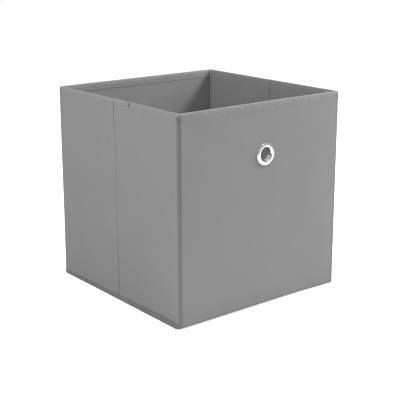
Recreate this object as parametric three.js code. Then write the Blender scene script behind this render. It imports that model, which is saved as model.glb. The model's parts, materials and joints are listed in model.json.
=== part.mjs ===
// Folding fabric storage cube: board panels in a sewn fabric shell, with a lift-up base and one eyelet.
//
// Frame: millimetres, +Z up, origin at the middle of the footprint on the surface that the bin stands on.
// The eyelet is in the front wall, which faces -Y. "Left" and "right" are -X and +X.
//
// The two side walls are split by an upright crease, so that they fold inwards and the front wall
// comes to lie against the back wall. The base panel lifts up against the back wall first.
import * as THREE from "three";

// --- Overall size -----------------------------------------------------------------------------------
const outerWidth = 320;
const outerDepth = 320;
const outerHeight = 320;

// --- Materials in the wall, from the outside in ------------------------------------------------------
const fabricThickness = 0.6;
const cardThickness = 1.8;
const layerGap = 0.25; // air left between two neighbouring layers

// --- Rim, corners, creases and foot -------------------------------------------------------------------
const hemHeight = 12; // folded fabric band along the rim
const frontPanelInset = 3; // front and back panels stop this far from the outer corner
const creaseWidth = 6; // soft strip between the two halves of a side wall
const sideMarginHeight = 8; // unstiffened fabric under each side panel
const seamGap = 0.3; // between a soft strip and the panel that it is sewn to

// --- Room for the folding movement ----------------------------------------------------------------------
const sweepGap = 0.5; // the walls pass this far above the base panel as they fold
const raisedBaseGap = 0.65; // between the back lining and the base panel when that stands up
const cornerAxisGap = 2; // from the base panel's hinge line to the fold axes at the corners
const panelEndGap = 1; // the side panels stop this far short of those axes

// --- Base panel -----------------------------------------------------------------------------------------
const baseHingeGap = 0.3; // the panel starts this far in front of its hinge line
const baseFrontGap = 2.2; // between the base panel and the front lining
const baseSideGap = 3.2; // between the base panel and each side lining
const baseBindingWidth = 0.8; // fabric edge round the base panel

// --- Eyelet ---------------------------------------------------------------------------------------------
const eyeletFromCentre = 4; // the eyelet sits a little to the right of the front wall's middle
const eyeletBelowRim = 79; // from the rim to the eyelet's centre
const eyeletHoleRadius = 10.2; // clear opening for a finger
const eyeletFlangeRadius = 17.3;
const eyeletMetal = 0.9;
const eyeletCrown = 2.4; // how far the domed flange stands off the fabric
const eyeletHoleClearance = 0.4; // between the barrel and the holes in the wall's layers
const eyeletWasherRadius = 16;
const eyeletWasherThickness = 1;
const eyeletLipReach = 2.6; // the barrel's end, rolled outwards over the washer
const eyeletSegments = 48;
const arcSteps = 8;

// --- Depths in the wall, measured inwards from the outer face --------------------------------------------
const layerStart = (first, ...before) => before.reduce((sum, layer) => sum + layer + layerGap, first);
const outerFabricDepth = layerStart(0, fabricThickness);
const cardDepth = layerStart(outerFabricDepth, fabricThickness);
const liningDepth = layerStart(cardDepth, cardThickness);
const innerHemDepth = layerStart(liningDepth, fabricThickness);
const liningInnerDepth = liningDepth + fabricThickness;
const wallDepth = innerHemDepth + fabricThickness;

// --- Heights ----------------------------------------------------------------------------------------------
const hemRadius = wallDepth / 2; // the hem turns over the rim in a half circle
const panelTop = outerHeight - hemRadius;
const hemBottom = outerHeight - hemHeight;
const aboveBottomSheet = fabricThickness + layerGap;
const baseLayers = {
  lowerCover: aboveBottomSheet,
  card: layerStart(aboveBottomSheet, fabricThickness),
  upperCover: layerStart(aboveBottomSheet, fabricThickness, cardThickness),
};
const baseTop = baseLayers.upperCover + fabricThickness;
const baseThickness = baseTop - aboveBottomSheet;
const frontPanelBottom = baseTop + sweepGap;
const sidePanelBottom = aboveBottomSheet + sideMarginHeight;

// --- Fold axes, measured from the outer face ---------------------------------------------------------------
// The raised base panel stands between the back lining and the folded side panels, so the fold axes at
// the corners lie in front of its hinge line.
const baseHingeInset = liningInnerDepth + baseThickness + raisedBaseGap;
const cornerAxisInset = baseHingeInset + cornerAxisGap;
const sidePanelInset = cornerAxisInset + panelEndGap;

// --- Materials ----------------------------------------------------------------------------------------------
const finish = (color, roughness, metalness) => new THREE.MeshStandardMaterial({ color, roughness, metalness });
const materials = {
  outerFabric: finish(0x8f8f8f, 0.92, 0),
  lining: finish(0x868686, 0.94, 0),
  hem: finish(0x979797, 0.92, 0),
  softStrip: finish(0x7e7e7e, 0.94, 0),
  card: finish(0x9b9183, 0.85, 0),
  chrome: finish(0xd9dadc, 0.12, 1),
};

const bin = new THREE.Group();
bin.name = "fabric_storage_bin";

// --- Building blocks ------------------------------------------------------------------------------------------

// A named mesh, added to a group.
function piece(group, name, material, geometry) {
  const mesh = new THREE.Mesh(geometry, material);
  mesh.name = name;
  group.add(mesh);
  return mesh;
}

// A rectangle from [x0, x1] by [y0, y1], as a shape that can take holes.
function rectangle([x0, x1], [y0, y1]) {
  return new THREE.Shape([
    new THREE.Vector2(x0, y0),
    new THREE.Vector2(x1, y0),
    new THREE.Vector2(x1, y1),
    new THREE.Vector2(x0, y1),
  ]);
}

// An outline in plan (x, y), raised from the first height to the second.
function upright(outline, [bottom, top]) {
  const geometry = new THREE.ExtrudeGeometry(outline, { depth: top - bottom, bevelEnabled: false });
  return geometry.translate(0, 0, bottom);
}

// A rectangular block from its range along each axis.
function block(xRange, yRange, zRange) {
  return upright(rectangle(xRange, yRange), zRange);
}

// A flat layer of a wall that runs along x, with its outer face towards -Y at y = -reach.
// Its outline is drawn in (x, z), and it lies from the given depth inwards.
function layer(outline, reach, depth, thickness) {
  const geometry = new THREE.ExtrudeGeometry(outline, {
    depth: thickness,
    bevelEnabled: false,
    curveSegments: eyeletSegments,
  });
  const acrossWall = new THREE.Matrix4().makeBasis(
    new THREE.Vector3(1, 0, 0),
    new THREE.Vector3(0, 0, 1),
    new THREE.Vector3(0, -1, 0),
  );
  return geometry.applyMatrix4(acrossWall).translate(0, -reach + depth + thickness, 0);
}

// The hem's section: a channel with a round top that folds over the rim. Drawn in (depth, height).
function hemSection() {
  const innerRadius = hemRadius - fabricThickness;
  const section = new THREE.Shape();
  section.moveTo(0, hemBottom);
  section.lineTo(fabricThickness, hemBottom);
  section.lineTo(fabricThickness, panelTop);
  section.absarc(hemRadius, panelTop, innerRadius, Math.PI, 0, true);
  section.lineTo(wallDepth - fabricThickness, hemBottom);
  section.lineTo(wallDepth, hemBottom);
  section.lineTo(wallDepth, panelTop);
  section.absarc(hemRadius, panelTop, hemRadius, 0, Math.PI, false);
  return section;
}

// The hem along a wall that runs along x, with its outer face at y = -reach.
function hem([x0, x1], reach) {
  const geometry = new THREE.ExtrudeGeometry(hemSection(), {
    depth: x1 - x0,
    bevelEnabled: false,
    curveSegments: arcSteps,
  });
  const alongWall = new THREE.Matrix4().makeBasis(
    new THREE.Vector3(0, 1, 0),
    new THREE.Vector3(0, 0, 1),
    new THREE.Vector3(1, 0, 0),
  );
  return geometry.applyMatrix4(alongWall).translate(x0, -reach, 0);
}

// --- Wall panels ----------------------------------------------------------------------------------------------

// One stiff panel: card between an outer fabric and a lining, with a hem over its top edge.
// hole, where given, is {x, z, radius} and goes through the three flat layers.
function panel(wall, { name, reach, xRange, bottom, hole }) {
  const outline = rectangle(xRange, [bottom, panelTop]);
  if (hole) {
    outline.holes.push(new THREE.Path().absarc(hole.x, hole.z, hole.radius, 0, 2 * Math.PI, false));
  }
  const layers = [
    ["outer_fabric", materials.outerFabric, outerFabricDepth, fabricThickness],
    ["card", materials.card, cardDepth, cardThickness],
    ["lining", materials.lining, liningDepth, fabricThickness],
  ];
  for (const [layerName, material, depth, thickness] of layers) {
    piece(wall, `${name}_${layerName}`, material, layer(outline, reach, depth, thickness));
  }
  piece(wall, `${name}_rim_hem`, materials.hem, hem(xRange, reach));
}

// The soft fabric between a panel's lower edge and the bottom sheet that it is sewn to.
function bottomSeam(wall, name, reach, xRange, panelBottom) {
  const yRange = [-reach + outerFabricDepth, -reach + liningInnerDepth];
  const zRange = [aboveBottomSheet, panelBottom - layerGap];
  piece(wall, `${name}_bottom_seam`, materials.softStrip, block(xRange, yRange, zRange));
}

// A group whose -Y face is turned to the given side of the bin.
function wallGroup(quarterTurns) {
  const group = new THREE.Group();
  group.rotation.z = (quarterTurns * Math.PI) / 2;
  bin.add(group);
  return group;
}

const frontHalf = outerWidth / 2 - frontPanelInset;
const sideHalf = outerDepth / 2 - sidePanelInset;
const eyeletX = eyeletFromCentre;
const eyeletZ = outerHeight - eyeletBelowRim;
const barrelRadius = eyeletHoleRadius + eyeletMetal;

function frontWall() {
  const wall = wallGroup(0);
  const reach = outerDepth / 2;
  const xRange = [-frontHalf, frontHalf];
  const hole = { x: eyeletX, z: eyeletZ, radius: barrelRadius + eyeletHoleClearance };
  panel(wall, { name: "front", reach, xRange, bottom: frontPanelBottom, hole });
  bottomSeam(wall, "front", reach, xRange, frontPanelBottom);
}

function backWall() {
  const wall = wallGroup(2);
  panel(wall, { name: "back", reach: outerDepth / 2, xRange: [-frontHalf, frontHalf], bottom: aboveBottomSheet });
}

// A side wall in two halves. In its group, +x runs towards the front on the left, and the back on the right.
function sideWall(side, quarterTurns, towardsFront) {
  const wall = wallGroup(quarterTurns);
  const reach = outerWidth / 2;
  const near = creaseWidth / 2;
  const halves = { front: towardsFront, rear: -towardsFront };
  for (const [half, sign] of Object.entries(halves)) {
    const name = `${side}_${half}`;
    const xRange = [sign * near, sign * sideHalf].sort((a, b) => a - b);
    panel(wall, { name, reach, xRange, bottom: sidePanelBottom });
    bottomSeam(wall, name, reach, xRange, sidePanelBottom);
  }
  const creaseRange = [-near + seamGap, near - seamGap];
  const yRange = [-reach + outerFabricDepth, -reach + liningInnerDepth];
  piece(wall, `${side}_crease_strip`, materials.softStrip, block(creaseRange, yRange, [aboveBottomSheet, panelTop]));
}

// --- Soft corners -----------------------------------------------------------------------------------------------

// The L-shaped fabric corner between a side panel and the front or back panel, from foot to rim.
function cornerStrip(name, xSign, ySign) {
  const outerX = outerWidth / 2 - outerFabricDepth;
  const outerY = outerDepth / 2 - outerFabricDepth;
  const innerX = outerWidth / 2 - liningInnerDepth;
  const behindPanelY = outerDepth / 2 - wallDepth - seamGap;
  const besidePanelX = frontHalf + seamGap;
  const sideEdgeY = sideHalf + seamGap;
  const corners = [
    [outerX, sideEdgeY],
    [outerX, outerY],
    [besidePanelX, outerY],
    [besidePanelX, behindPanelY],
    [innerX, behindPanelY],
    [innerX, sideEdgeY],
  ];
  const outline = new THREE.Shape(corners.map(([x, y]) => new THREE.Vector2(xSign * x, ySign * y)));
  piece(bin, name, materials.softStrip, upright(outline, [aboveBottomSheet, panelTop]));
}

// --- Base -----------------------------------------------------------------------------------------------------------

function bottomSheet() {
  const halfX = outerWidth / 2 - outerFabricDepth;
  const halfY = outerDepth / 2 - outerFabricDepth;
  piece(
    bin,
    "bottom_sheet",
    materials.outerFabric,
    block([-halfX, halfX], [-halfY, halfY], [0, fabricThickness]),
  );
}

// The stiff base panel that lies on the bottom sheet and lifts about a fabric hinge along the back wall.
function basePanel() {
  const hingeY = outerDepth / 2 - baseHingeInset;
  const halfX = outerWidth / 2 - liningInnerDepth - baseSideGap;
  const rear = hingeY - baseHingeGap;
  const front = -outerDepth / 2 + liningInnerDepth + baseFrontGap;

  const binding = rectangle([-halfX, halfX], [front, rear]);
  const bindingInner = rectangle(
    [-halfX + baseBindingWidth, halfX - baseBindingWidth],
    [front + baseBindingWidth, rear - baseBindingWidth],
  );
  binding.holes.push(bindingInner);
  piece(bin, "base_edge_binding", materials.hem, upright(binding, [aboveBottomSheet, baseTop]));

  const inset = baseBindingWidth + layerGap;
  const layers = [
    ["base_lower_cover", materials.outerFabric, baseLayers.lowerCover, fabricThickness],
    ["base_card", materials.card, baseLayers.card, cardThickness],
    ["base_upper_cover", materials.lining, baseLayers.upperCover, fabricThickness],
  ];
  for (const [name, material, bottom, thickness] of layers) {
    const geometry = block(
      [-halfX + inset, halfX - inset],
      [front + inset, rear - inset],
      [bottom, bottom + thickness],
    );
    piece(bin, name, material, geometry);
  }

  const liningY = outerDepth / 2 - liningInnerDepth;
  piece(
    bin,
    "base_hinge_strip",
    materials.softStrip,
    block([-halfX, halfX], [hingeY, liningY - layerGap], [aboveBottomSheet, aboveBottomSheet + fabricThickness]),
  );
}

// --- Eyelet ------------------------------------------------------------------------------------------------------------

// Points along a quarter or more of an ellipse, in (radius, depth).
function arc(centreRadius, centreDepth, radialHalf, depthHalf, startAngle, endAngle) {
  return Array.from({ length: arcSteps + 1 }, (_, step) => {
    const angle = startAngle + ((endAngle - startAngle) * step) / arcSteps;
    return new THREE.Vector2(
      centreRadius + radialHalf * Math.cos(angle),
      centreDepth + depthHalf * Math.sin(angle),
    );
  });
}

// A ring turned from a closed profile in (radius, depth), with its axis through the eyelet's centre.
function ring(profile) {
  const closed = [...profile, profile[0].clone()];
  return new THREE.LatheGeometry(closed, eyeletSegments).translate(eyeletX, -outerDepth / 2, eyeletZ);
}

function eyelet() {
  // The domed flange lies on the outer fabric, and its barrel runs through the wall.
  const flangeBack = outerFabricDepth - layerGap;
  const flangeMiddle = (eyeletHoleRadius + eyeletFlangeRadius) / 2;
  const flangeHalf = (eyeletFlangeRadius - eyeletHoleRadius) / 2;
  const washerDepth = liningInnerDepth + layerGap;
  const lipDepth = washerDepth + eyeletWasherThickness + layerGap;
  const lipHalf = (eyeletMetal + eyeletLipReach) / 2;
  const lipMiddle = eyeletHoleRadius + lipHalf;
  const body = [
    ...arc(flangeMiddle, flangeBack, flangeHalf, -eyeletCrown, Math.PI, 0),
    new THREE.Vector2(barrelRadius, flangeBack),
    new THREE.Vector2(barrelRadius, lipDepth),
    ...arc(lipMiddle, lipDepth, lipHalf, lipHalf, 0, Math.PI),
  ];
  piece(bin, "eyelet_flange", materials.chrome, ring(body));

  // The washer backs the lining, under the barrel's rolled end.
  const washerHole = barrelRadius + eyeletHoleClearance;
  const washer = [
    new THREE.Vector2(washerHole, washerDepth),
    new THREE.Vector2(eyeletWasherRadius, washerDepth),
    new THREE.Vector2(eyeletWasherRadius, washerDepth + eyeletWasherThickness),
    new THREE.Vector2(washerHole, washerDepth + eyeletWasherThickness),
  ];
  piece(bin, "eyelet_washer", materials.chrome, ring(washer));
}

// --- The whole bin --------------------------------------------------------------------------------------------------------

frontWall();
backWall();
sideWall("left", 3, 1);
sideWall("right", 1, -1);
cornerStrip("front_left_corner_strip", -1, -1);
cornerStrip("front_right_corner_strip", 1, -1);
cornerStrip("back_left_corner_strip", -1, 1);
cornerStrip("back_right_corner_strip", 1, 1);
bottomSheet();
basePanel();
eyelet();

export default bin;
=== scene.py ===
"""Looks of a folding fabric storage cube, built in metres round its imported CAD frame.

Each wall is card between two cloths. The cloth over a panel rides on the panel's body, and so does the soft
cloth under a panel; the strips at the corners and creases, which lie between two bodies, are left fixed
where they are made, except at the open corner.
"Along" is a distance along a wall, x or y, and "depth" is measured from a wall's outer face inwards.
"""
import json
import math

import bpy
import numpy as np
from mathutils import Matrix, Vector, noise


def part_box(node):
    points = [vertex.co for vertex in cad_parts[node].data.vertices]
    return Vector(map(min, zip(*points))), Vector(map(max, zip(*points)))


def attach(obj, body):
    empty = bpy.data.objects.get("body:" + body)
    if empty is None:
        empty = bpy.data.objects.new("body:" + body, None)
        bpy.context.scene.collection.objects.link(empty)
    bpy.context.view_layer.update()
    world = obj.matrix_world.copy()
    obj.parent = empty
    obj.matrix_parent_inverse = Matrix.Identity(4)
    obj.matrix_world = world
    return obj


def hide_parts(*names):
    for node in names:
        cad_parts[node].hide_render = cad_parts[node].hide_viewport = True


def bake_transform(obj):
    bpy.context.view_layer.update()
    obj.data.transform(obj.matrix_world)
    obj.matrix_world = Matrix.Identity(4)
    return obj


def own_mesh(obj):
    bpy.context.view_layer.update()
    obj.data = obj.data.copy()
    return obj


MM = 0.001

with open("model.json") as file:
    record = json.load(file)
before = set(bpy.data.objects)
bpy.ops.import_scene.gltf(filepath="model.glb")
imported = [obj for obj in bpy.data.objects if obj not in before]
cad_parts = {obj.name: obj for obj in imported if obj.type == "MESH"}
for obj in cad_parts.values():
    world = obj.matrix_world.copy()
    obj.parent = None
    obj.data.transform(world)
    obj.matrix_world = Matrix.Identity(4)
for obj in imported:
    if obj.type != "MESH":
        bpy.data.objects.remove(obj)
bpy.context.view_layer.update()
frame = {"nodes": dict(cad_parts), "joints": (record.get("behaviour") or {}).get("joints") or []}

# --- Places, from the frame -----------------------------------------------------------------------
hem_low, hem_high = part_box("front_rim_hem")
skin_low, skin_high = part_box("front_outer_fabric")
lining_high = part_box("front_lining")[1]
HALF_WIDTH = -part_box("left_front_rim_hem")[0].x
HALF_DEPTH = -hem_low.y
RIM = hem_high.z + 0.5 * MM  # the cloth puffs up a little over the card
HEM_BOTTOM = hem_low.z
WALL = hem_high.y - hem_low.y  # a wall's whole depth, over the hem
CLOTH = skin_high.y - skin_low.y
LINING = lining_high.y - hem_low.y  # depth of the lining's visible face
PANEL_TOP = skin_high.z
FRONT_FOOT = skin_low.z  # lower edge of the front panel
SIDE_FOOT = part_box("left_front_card")[0].z
SIDE_END = -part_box("left_front_card")[0].y  # the side panels' card ends this far from the middle
BASE_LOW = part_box("base_lower_cover")[0]
BASE_EDGE_LOW, BASE_EDGE_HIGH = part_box("base_edge_binding")
SHEET_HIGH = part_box("bottom_sheet")[1]
EYELET_LOW, EYELET_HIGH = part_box("eyelet_flange")
WASHER_LOW, WASHER_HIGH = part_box("eyelet_washer")
AXES = {joint["name"]: Vector(joint["pos_m"]) for joint in frame["joints"]}

# --- Sizes of the cloth work ----------------------------------------------------------------------
SKIN_STEP = 5 * MM  # mesh spacing on the flat cloth
FINE_STEP = 0.5 * MM  # mesh spacing across creases
HEM_STEP = 1.6 * MM  # mesh spacing along the hem
FOOT_STEP = 2.5 * MM  # mesh spacing along the soft feet of the walls
SKIN = 0.45 * MM  # depth of the outer cloth away from the hem, where it stands proud
CLOTH_TOP = HEM_BOTTOM + 6 * MM  # the outer cloth and the lining end under the hem
PRESSED = 0.12 * MM  # thickness of the hem's pressed lower edges
HEM_SWELL = 4 * MM  # height over which the hem swells from that to its full thickness
CREASE_HALF = 8 * MM  # half width of the cloth strip that holds a crease
BEND_HALF = 3 * MM  # the crease strip bends within this distance of its middle
CORNER_CUT = 6 * MM  # the corner pieces reach this far round onto the front and back
LINING_CUT = 8.6 * MM  # and the lining's corner pieces this far
CORNER_BEND = 5.4 * MM  # the corner pieces bend down to this distance from the front or back face
CORNER_ROUND = 2.2 * MM  # radius of the outer cloth round a corner
FOOT_ROUND = 1.6 * MM  # more radius at the foot of the front left corner
HEM_ROUND = 2.5 * MM  # radius of the hem round a corner
INNER_ROUND = 0.6 * MM  # radius of the lining in a corner
DIAMOND = 2.2 * MM  # size of the pattern pressed into the felt

STITCH_LINE = RIM - 8.5 * MM  # height of the hem's row of stitches
STITCH_PITCH = 3.2 * MM
STITCH_LENGTH = 2.5 * MM
THREAD_RADIUS = 0.2 * MM

FRONT_FOLD = 4.5 * MM  # height of the front's lower edge, which drops to the floor at the right
FRONT_FOLD_RIGHT = 0.9 * MM
FRONT_RECESS = 5.6 * MM  # how far the cloth turns in under that edge
FRONT_RECESS_RIGHT = 1.0 * MM
FRONT_DROP = 75 * MM  # where along the front that edge starts to drop
UNDER_BASE = 7.4 * MM  # depth of the bottom sheet's front edge, under the base panel
FRONT_EDGE = FRONT_FOOT + 0.35 * MM  # lower edge of the front's outer cloth
BACK_EDGE = 0.35 * MM  # and of the back's
BAND_REAR = 7.1 * MM  # height of the soft band at the foot of the side walls, at the back
BAND_FRONT = 10.9 * MM  # and at the front
BAND_LEDGE = 0.4 * MM  # step from a side panel's cloth in to the band
BAND_BULGE = 0.4 * MM  # the band bellies out again towards the floor
CRUMPLED = 0.03  # share of its height that the foot of a wall keeps when the walls are folded

EYELET_BORE = 10.2 * MM  # radius of the eyelet's opening
CLOTH_HOLE = 11.5 * MM  # radius of the hole in the cloth round the eyelet

CREASE_HEIGHTS = np.array([0, 9, 83, 131, 227, 270, 288, 320]) * MM
CREASE_PLACES = np.array([-4, -4, -3.2, -1.3, -2.6, -1.4, 1.4, 1.5]) * MM  # along the wall, at those heights
CREASE_STRENGTHS = np.array([0.9, 0.9, 0.75, 0.35, 0.5, 0.6, 1.0, 1.0])
CREASE_DEPTH = 0.9 * MM
HEM_PUCKERS = {"front": 0.45 * MM, "back": 0.3 * MM, "left": 0.3 * MM, "right": 0.25 * MM}
NOTCH = -39.5 * MM  # where the hem's two ends overlap, along the left wall

CAMERA_PLACE = (-0.9366, -1.1715, 0.5611)
CAMERA_AIM = (0.0079, 0.0016, 0.1849)
CAMERA_LENS = 85.1
CAMERA_SHIFT = -0.076
SKY = 0.505  # brightness of the white surroundings, which look plain white to the camera
FLOOR_GLOW = 0.6  # what the floor adds to be plain white to the camera
FLOOR_HALF = 6.0
LIGHT_AIM = (0, 0, 0.16)
# name: place, width and height, watts
SOFTBOXES = {
    "key": ((0.95, -0.53, 1.2), (0.3, 0.3), 18.8),
    "right": ((1.1, -0.45, 0.9), (0.4, 0.6), 6.8),
    "left": ((-1.1, -0.15, 1.2), (0.6, 0.6), 12.5),
    "top": ((0.0, 0.0, 1.5), (0.8, 0.8), 8.5),
}
# name: place, width and height, glow. Only polished metal mirrors these cards, which face the eyelet.
CARDS = {
    "left_flag": ((-0.66, -0.33, 0.38), (0.34, 0.34), 0.0),
    "right_flag": ((0.75, 0.2, 0.3), (0.5, 0.5), 0.0),
    "catch_light": ((0.2, -0.49, 1.16), (0.4, 0.4), 3.0),
}

X, Y, Z = np.eye(3)
# name: direction along the wall, direction inwards, distance of its outer face from the middle
WALLS = {
    "front": (X, Y, HALF_DEPTH),
    "back": (X, -Y, HALF_DEPTH),
    "left": (Y, X, HALF_WIDTH),
    "right": (Y, -X, HALF_WIDTH),
}
# name: wall, body, start and end along the wall, lower edge of its cloth
PANELS = {
    "front": ("front", "front_wall", CORNER_CUT - HALF_WIDTH, HALF_WIDTH - CORNER_CUT, FRONT_EDGE),
    "back": ("back", "back_wall", CORNER_CUT - HALF_WIDTH, HALF_WIDTH - CORNER_CUT, BACK_EDGE),
    "left_front": ("left", "left_front_panel", -SIDE_END, -CREASE_HALF, SIDE_FOOT),
    "left_rear": ("left", "left_rear_panel", CREASE_HALF, SIDE_END, SIDE_FOOT),
    "right_front": ("right", "right_front_panel", -SIDE_END, -CREASE_HALF, SIDE_FOOT),
    "right_rear": ("right", "right_rear_panel", CREASE_HALF, SIDE_END, SIDE_FOOT),
}
# name: signs of x and y, body of the side panel, body of the front or back wall
CORNERS = {
    "front_left": (-1, -1, "left_front_panel", "front_wall"),
    "front_right": (1, -1, "right_front_panel", "front_wall"),
    "back_left": (-1, 1, "left_rear_panel", "back_wall"),
    "back_right": (1, 1, "right_rear_panel", "back_wall"),
}
OPEN_CORNER = "back_right"  # the frame has no joint here, so its pieces ride and slide over each other


# --- Smooth functions -----------------------------------------------------------------------------
def ramp(value, start, end):
    """0 before start, 1 after end, and a smooth rise in between."""
    t = np.clip((np.asarray(value, float) - start) / (end - start), 0, 1)
    return t * t * (3 - 2 * t)


def ridge(value, centre, width):
    """A smooth ridge, 1 high at its centre."""
    return np.exp(-(((np.asarray(value, float) - centre) / width) ** 2))


def ripple(points, size, seed):
    """Smooth noise, about -0.7 to 0.7, with bumps of the given size."""
    spots = points.reshape(-1, 3) / size + seed
    return np.array([noise.noise(spot) for spot in spots]).reshape(points.shape[:-1])


def steps(start, end, spacing):
    """Evenly spaced values from start to end, about the given spacing apart."""
    return np.linspace(start, end, max(2, round(abs(end - start) / spacing) + 1))


def on_wall(wall, along, depth, height):
    """Points of a wall, from arrays that broadcast together."""
    along, depth, height = np.broadcast_arrays(along, depth, height)
    run, inward, half = WALLS[wall]
    return along[..., None] * run + (depth - half)[..., None] * inward + height[..., None] * Z


# --- Materials ------------------------------------------------------------------------------------
def new_material(name):
    """A material, a function that adds a node with its inputs and properties, and one that sets the inputs
    of the material's shader."""
    made = bpy.data.materials.new(name)
    made.use_nodes = True
    tree = made.node_tree

    def feed(target, inputs):
        for key, value in inputs.items():
            if isinstance(value, bpy.types.NodeSocket):
                tree.links.new(value, target.inputs[key])
            else:
                target.inputs[key].default_value = value

    def node(kind, inputs=None, **properties):
        added = tree.nodes.new(kind)
        for key, value in properties.items():
            setattr(added, key, value)
        feed(added, inputs or {})
        return added

    def finish(inputs):
        feed(tree.nodes["Principled BSDF"], inputs)

    return made, node, finish


def sums(node, operation, *values):
    """The output of Math nodes that chain an operation over sockets and numbers."""
    total = values[0]
    for value in values[1:]:
        total = node("ShaderNodeMath", {0: total, 1: value}, operation=operation).outputs[0]
    return total


def spread(node, value, low, high):
    """A value from 0 to 1, spread out from low to high."""
    return node("ShaderNodeMapRange", {"Value": value, "To Min": low, "To Max": high}).outputs["Result"]


def grey(node, tone):
    """A grey colour whose tone is a socket."""
    return node("ShaderNodeCombineColor", {channel: tone for channel in range(3)}).outputs[0]


def bump(node, height, distance, strength):
    inputs = {"Height": height, "Distance": distance, "Strength": strength}
    return node("ShaderNodeBump", inputs).outputs[0]


def felt(name, tone, dark=0.5, lies_flat=False):
    """Matte non-woven cloth: matted fibres, and a small diamond pattern pressed into it. Where its attribute
    "shade", which holds painted shade, is 1, it is darker by the share dark."""
    made, node, finish = new_material(name)
    place = node("ShaderNodeTexCoord").outputs["Object"]
    x, y, z = node("ShaderNodeSeparateXYZ", {0: place}).outputs
    across, up = (x, y) if lies_flat else (sums(node, "ADD", x, y), z)

    def fibres(scale, detail):
        return node("ShaderNodeTexNoise", {"Vector": place, "Scale": scale, "Detail": detail}).outputs["Fac"]

    cloudy, mottled, fine = fibres(22, 2), fibres(420, 3), fibres(2600, 6)
    waves = []
    for operation in ("ADD", "SUBTRACT"):
        angle = sums(node, "MULTIPLY", sums(node, operation, across, up), 2 * math.pi / DIAMOND)
        waves.append(node("ShaderNodeMath", {0: angle}, operation="COSINE").outputs[0])
    dimples = node(
        "ShaderNodeMapRange",
        {"Value": sums(node, "MULTIPLY", *waves), "From Min": 0.35, "From Max": 0.95},
        interpolation_type="SMOOTHSTEP",
    ).outputs["Result"]
    # painted shade: the attribute "shade" draws the cloth darker in creases, corners, recesses, the notch
    # and the wall feet
    pressed = node("ShaderNodeAttribute", attribute_name="shade").outputs["Fac"]
    strength = sums(
        node,
        "MULTIPLY",
        spread(node, cloudy, 0.96, 1.04),
        spread(node, mottled, 0.93, 1.07),
        spread(node, fine, 0.82, 1.18),
        spread(node, dimples, 1.01, 0.93),
        spread(node, pressed, 1.0, 1.0 - dark),
        tone,
    )
    relief = sums(node, "SUBTRACT", sums(node, "MULTIPLY", fine, 0.6), sums(node, "MULTIPLY", dimples, 0.5))
    finish({
        "Base Color": grey(node, strength),
        "Roughness": spread(node, fine, 0.82, 0.98),
        "Normal": bump(node, relief, 0.12 * MM, 0.5),
        "Specular IOR Level": 0.2,
        "Sheen Weight": 0.08,
        "Sheen Roughness": 0.6,
    })
    return made


def twisted_thread():
    """Sewing thread with slanting plies."""
    made, node, finish = new_material("sewing_thread")
    place = node("ShaderNodeTexCoord").outputs["Object"]
    slanting = {"Vector": place, "Scale": 900, "Distortion": 1.5}
    plies = node("ShaderNodeTexWave", slanting, bands_direction="DIAGONAL").outputs["Fac"]
    finish({
        "Base Color": grey(node, spread(node, plies, 0.21, 0.27)),
        "Roughness": 0.6,
        "Normal": bump(node, plies, 0.05 * MM, 0.6),
    })
    return made


def greyboard():
    """Raw card: matted pulp with specks, in dull browns."""
    made, node, finish = new_material("greyboard")
    place = node("ShaderNodeTexCoord").outputs["Object"]
    pulp = node("ShaderNodeTexNoise", {"Vector": place, "Scale": 700, "Detail": 5}).outputs["Fac"]
    specks = node("ShaderNodeTexVoronoi", {"Vector": place, "Scale": 500}).outputs["Distance"]
    mottled = sums(node, "MULTIPLY", pulp, spread(node, specks, 0.8, 1.1))
    browns = node("ShaderNodeValToRGB", {"Fac": mottled})
    browns.color_ramp.elements[0].color = (0.2, 0.17, 0.135, 1)
    browns.color_ramp.elements[1].color = (0.5, 0.45, 0.38, 1)
    finish({
        "Base Color": browns.outputs["Color"],
        "Roughness": 0.9,
        "Normal": bump(node, pulp, 0.1 * MM, 0.5),
    })
    return made


def chrome():
    """Polished plate with faint smears."""
    made, node, finish = new_material("chrome")
    place = node("ShaderNodeTexCoord").outputs["Object"]
    smears = node("ShaderNodeTexNoise", {"Vector": place, "Scale": 160, "Detail": 4}).outputs["Fac"]
    finish({
        "Base Color": grey(node, spread(node, smears, 0.76, 0.84)),
        "Roughness": spread(node, smears, 0.05, 0.13),
        "Metallic": 1.0,
    })
    return made


OUTER_FELT = felt("outer_felt", 0.2)
LINING_FELT = felt("lining_felt", 0.198)
HEM_FELT = felt("hem_felt", 0.202, dark=0.75)
FLAT_FELT = felt("flat_felt", 0.19, lies_flat=True)
THREAD = twisted_thread()
GREYBOARD = greyboard()
CHROME = chrome()


# --- Building and placing pieces ------------------------------------------------------------------
def surface_normals(grid):
    """Unit normals of a grid of points, square to its rows and its columns."""
    made = np.cross(np.gradient(grid, axis=0), np.gradient(grid, axis=1))
    return made / np.maximum(np.linalg.norm(made, axis=2, keepdims=True), 1e-12)


def add_object(name, data, place_at=(0, 0, 0), aim=None):
    """An object at a place, with its -Z axis turned to the aim."""
    made = bpy.data.objects.new(name, data)
    bpy.context.scene.collection.objects.link(made)
    made.location = place_at
    if aim is not None:
        made.rotation_euler = (Vector(aim) - Vector(place_at)).to_track_quat("-Z", "Y").to_euler()
    return made


def new_piece(name, points, faces, material, shade=None, sharp_angle=50):
    """A mesh object that rides on nothing yet. shade is a value for each point."""
    mesh = bpy.data.meshes.new(name)
    mesh.from_pydata([tuple(point) for point in points], [], [tuple(face) for face in faces])
    mesh.materials.append(material)
    if shade is not None:
        mesh.attributes.new("shade", "FLOAT", "POINT").data.foreach_set("value", shade.astype(np.float32))
    mesh.shade_smooth()
    mesh.set_sharp_from_angle(angle=math.radians(sharp_angle))
    return add_object(name, mesh)


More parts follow.
